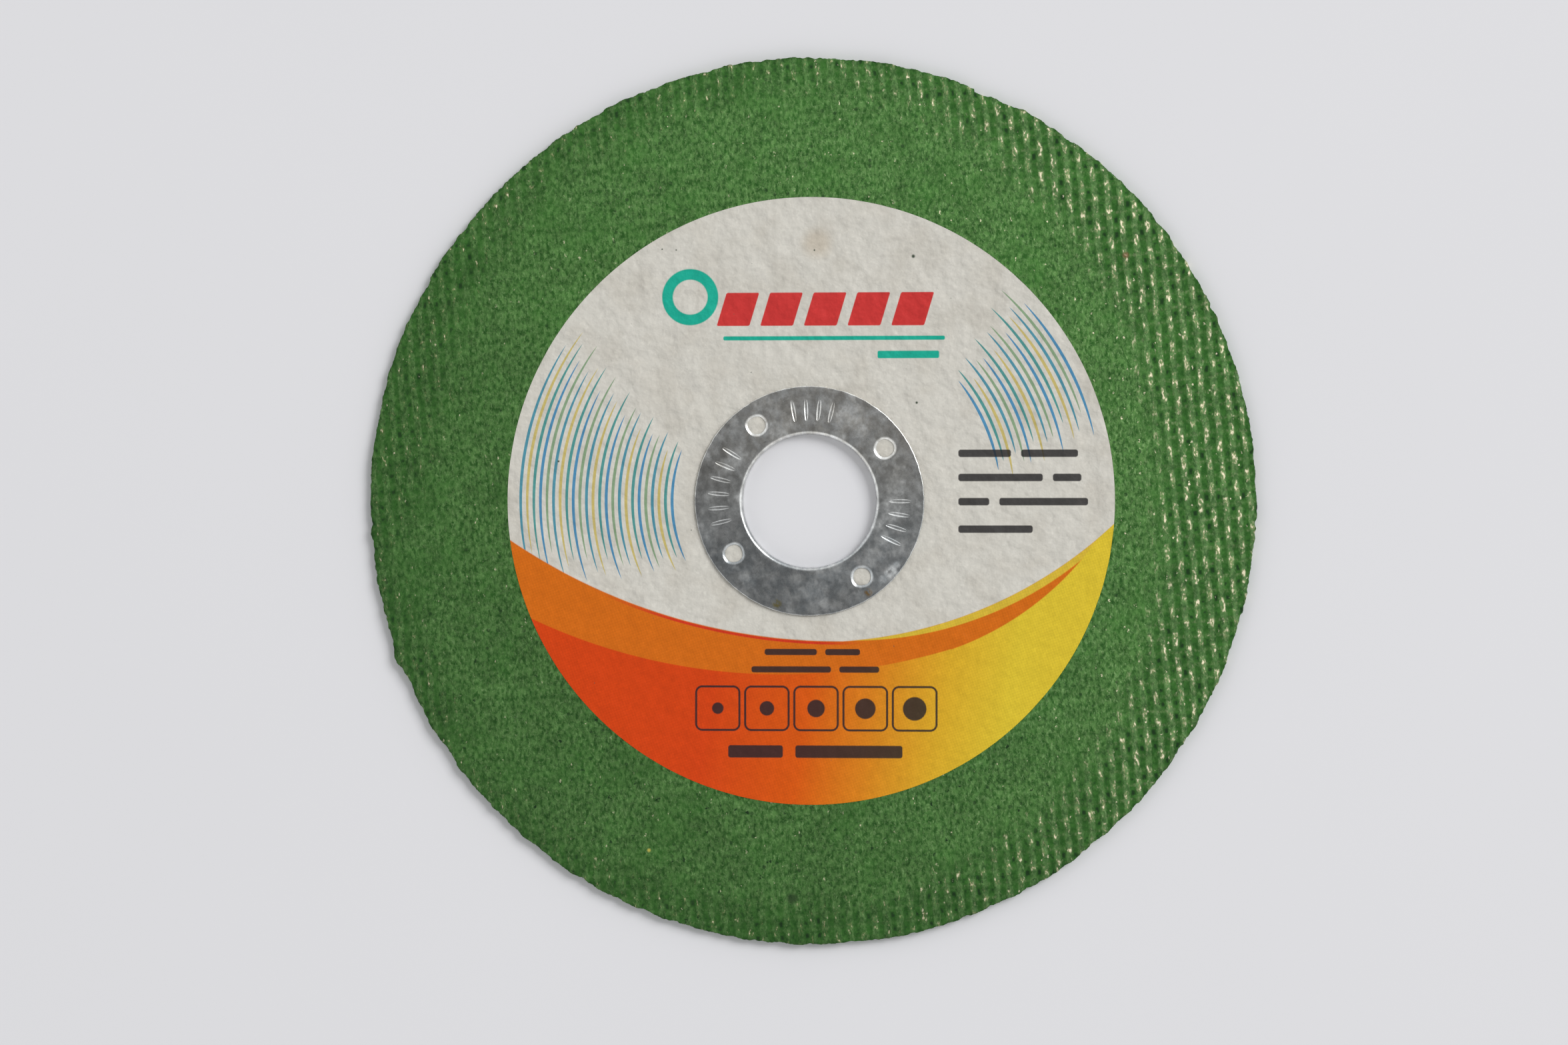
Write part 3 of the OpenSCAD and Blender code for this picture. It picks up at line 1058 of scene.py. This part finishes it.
def print_marks(finish, colour):
    """Slanted red bars, teal rules and ring, dark bars and a row of plain tiles."""
    left, right, middle, height = RED_BARS
    step = (right - left + RED_BAR_GAP) / RED_BAR_COUNT
    red = finish.any_of([
        finish.bar(left + i * step, left + (i + 1) * step - RED_BAR_GAP, middle, height, RED_BAR_SLANT)
        for i in range(RED_BAR_COUNT)
    ])
    colour = finish.blend(red, colour, BAR_RED)
    centre, outer_r, inner_r = TEAL_RING
    teal_ring = finish.product(
        finish.math("SUBTRACT", 1.0, finish.beyond((centre, outer_r))),
        finish.beyond((centre, inner_r)),
    )
    teal = finish.any_of([teal_ring] + [finish.bar(*rule) for rule in TEAL_BARS])
    colour = finish.blend(teal, colour, TEAL)
    dark = [finish.bar(*bar, corner=DARK_CORNER) for bar in DARK_BARS]
    row_x, row_y = TILE_ROW
    for i in range(TILE_COUNT):
        tile_x = row_x + (i - (TILE_COUNT - 1) / 2) * TILE_PITCH
        half = TILE_SIDE / 2
        inner = half - TILE_LINE
        frame_line = finish.math(
            "SUBTRACT",
            finish.bar(tile_x - half, tile_x + half, row_y, TILE_SIDE, corner=TILE_CORNER),
            finish.bar(tile_x - inner, tile_x + inner, row_y, 2 * inner, corner=TILE_INNER_CORNER),
        )
        dot_r = TILE_DOT_R + TILE_DOT_GROWTH * i
        dot = finish.math("SUBTRACT", 1.0, finish.beyond(((tile_x, row_y), dot_r)))
        dark += [frame_line, dot]
    return finish.blend(finish.math("MULTIPLY", finish.any_of(dark), 0.94), colour, DARK_PRINT)


def label_paper():
    finish = Finish("printed_label_paper")
    clouds = finish.noise(4, 3)
    fibres = finish.noise(0.5, 3, 0.6)
    colour = finish.blend(finish.rise(clouds, 0.4, 0.7), srgb(211, 208, 199), srgb(203, 199, 189))
    colour = print_arcs(finish, colour)
    colour, printed = print_fields(finish, colour)
    colour = print_marks(finish, colour)
    colour = finish.shade(colour, fibres, 0.93, 1.07)
    colour = finish.shade(colour, finish.noise(1.1, 3, 0.6), 0.9, 1.1)
    colour = finish.shade(colour, finish.rise(finish.noise(0.4, 2), 0.55, 0.72), 1.0, 1.07)
    stained = finish.math("MULTIPLY", finish.spot(PAPER_STAIN), 0.26)
    colour = finish.blend(stained, colour, srgb(178, 152, 112))
    specks = finish.any_of([finish.spot(mark) for mark in PAPER_SPECKS])
    dust = finish.product(finish.specks(2.4, 0.1, 0.3), finish.noise(0.3))
    colour = finish.blend(finish.any_of([specks, dust]), colour, srgb(72, 84, 70))
    dents = finish.math("MULTIPLY_ADD", finish.noise(0.9, 2), 0.3, finish.noise(2.4, 2, 0.4))
    relief = finish.math("MULTIPLY_ADD", fibres, 0.05, dents)
    evened = finish.math("MULTIPLY_ADD", printed, -0.5, 1.0)
    finish.bump(finish.math("MULTIPLY", finish.math("SUBTRACT", relief, 0.65), evened), 0.5, 0.9)
    finish.set(
        Base_Color=colour,
        Roughness=finish.math("MULTIPLY_ADD", printed, -0.12, 0.6),
        Specular_IOR_Level=0.15,
    )
    return finish


# Tinned sheet steel

def tinned_steel():
    finish = Finish("mottled_tin_plate")
    warm = srgb(202, 200, 194)
    cool = srgb(188, 194, 197)
    bright = srgb(232, 234, 233)
    soot = srgb(110, 112, 114)
    mottle = finish.noise(1, 5, 0.65, finish.stretched(1.9, 1.0, 0.6))
    clouds = finish.noise(2.2, 4, 0.6, swirl=0.5)
    tone = finish.math("MULTIPLY_ADD", finish.math("SUBTRACT", mottle, 0.5), 0.5, clouds)
    upwards = finish.rise(finish.parts(finish.place)[1], -9, 9)
    colour = finish.blend(finish.rise(tone, 0.3, 0.75), finish.blend(upwards, cool, warm), bright)
    scored = finish.any_of([
        finish.strokes(0.6, 2.5, 0.05, 0.72),
        finish.strokes(-0.9, 2.0, 0.05, 0.72),
        finish.strokes(1.9, 3.0, 0.06, 0.72),
    ])
    blotches = finish.noise(1.1, 4, 0.65, swirl=0.4)
    colour = finish.shade(colour, finish.rise(blotches, 0.34, 0.66), 0.78, 1.08)
    colour = finish.shade(colour, finish.noise(0.2, 3, 0.65), 0.8, 1.2)
    # Painted reflection: the tin lighter on one side and darker on the other
    colour = finish.shade(colour, finish.towards(PAINTED_REFLECTION_ANGLE, -13, 13), 0.82, 1.2)
    colour = finish.blend(finish.math("MULTIPLY", scored, 0.35), colour, soot)
    for stain, tint in (
        (RING_OLIVE_STAIN, srgb(178, 168, 116)),
        (RING_BROWN_STAIN, srgb(186, 154, 106)),
    ):
        blotched = finish.product(finish.spot(stain), finish.rise(finish.noise(0.4), 0.35, 0.6))
        colour = finish.blend(blotched, colour, tint)
    scuffed = finish.any_of([finish.spot(mark) for mark in RING_SCUFFS])
    scuffed = finish.product(scuffed, finish.rise(finish.noise(0.5, 3), 0.3, 0.5))
    hazed = finish.rise(finish.noise(3.2, 3, 0.6), 0.46, 0.66)
    roughness = finish.math("MULTIPLY_ADD", mottle, 0.16, 0.2)
    roughness = finish.math("MULTIPLY_ADD", hazed, 0.13, roughness)
    finish.set(
        Base_Color=colour,
        Metallic=1.0,
        Roughness=finish.math("MULTIPLY_ADD", scuffed, 0.25, roughness),
    )
    relief = finish.math("MULTIPLY_ADD", scored, -0.3, mottle)
    finish.bump(relief, 0.01, 0.5)
    return finish


# Stage

def make_stage():
    deselect_all()
    bpy.ops.mesh.primitive_plane_add(size=FLOOR_SIDE, location=(0, 0, 0))
    floor = bpy.context.object
    floor.name = "floor"
    bpy.ops.object.transform_apply(location=True)
    finish = Finish("pale_table")
    finish.set(
        Base_Color=finish.blend(finish.noise(60), srgb(229, 229, 232), srgb(231, 231, 234)),
        Roughness=0.8,
        Specular_IOR_Level=0.0,
    )
    finish.wear(floor)


def make_light():
    """A soft square lamp that looks at the bore, and a sky that is brightest at the horizon."""
    deselect_all()
    bpy.ops.object.light_add(type="AREA", location=LAMP_PLACE)
    lamp = bpy.context.object
    lamp.name = "key_lamp"
    lamp.data.size = LAMP_SIDE
    lamp.data.energy = LAMP_POWER
    lamp.rotation_euler = (-Vector(LAMP_PLACE)).to_track_quat("-Z", "Y").to_euler()
    world = bpy.data.worlds.new("studio")
    bpy.context.scene.world = world
    world.use_nodes = True
    tree = world.node_tree
    direction = tree.nodes.new("ShaderNodeTexCoord")
    parts = tree.nodes.new("ShaderNodeSeparateXYZ")
    ramp = tree.nodes.new("ShaderNodeMapRange")
    tree.links.new(direction.outputs["Generated"], parts.inputs[0])
    tree.links.new(parts.outputs["Z"], ramp.inputs["Value"])
    ramp.interpolation_type = "SMOOTHSTEP"
    for side, height, strength in zip(("Min", "Max"), SKY_HEIGHTS, SKY_STRENGTHS):
        ramp.inputs[f"From {side}"].default_value = height
        ramp.inputs[f"To {side}"].default_value = strength
    background = tree.nodes["Background"]
    background.inputs["Color"].default_value = (1, 1, 1, 1)
    tree.links.new(ramp.outputs[0], background.inputs["Strength"])


def make_camera():
    """The photograph's own view: almost straight down, from a little to the right."""
    focal_px = PHOTO_WIDTH_PX * LENS_MM / SENSOR_MM
    distance = focal_px / PX_PER_M
    target = Vector((
        (PHOTO_WIDTH_PX / 2 - BORE_PX[0]) / PX_PER_M,
        (BORE_PX[1] - PHOTO_HEIGHT_PX / 2) / PX_PER_M,
        FACE_Z,
    ))
    back_off = Vector((math.sin(VIEW_TILT), 0, math.cos(VIEW_TILT)))
    bpy.ops.object.camera_add(location=target + distance * back_off, rotation=(0, VIEW_TILT, 0))
    camera = bpy.context.object
    camera.data.lens = LENS_MM
    camera.data.sensor_width = SENSOR_MM
    camera.data.clip_start = 0.01
    bpy.context.scene.camera = camera


make_stage()
make_light()
make_camera()
for make, dress, node, slot in (
    (make_wheel, green_abrasive, "abrasive_wheel", "green_abrasive"),
    (make_label, label_paper, "paper_label", "label_paper"),
    (make_ring, tinned_steel, "arbor_ring", "tinned_steel"),
):
    piece = make()
    dress().wear(piece)
    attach(piece, "root")
    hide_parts(node)

bpy.context.scene.view_settings.view_transform = "Standard"
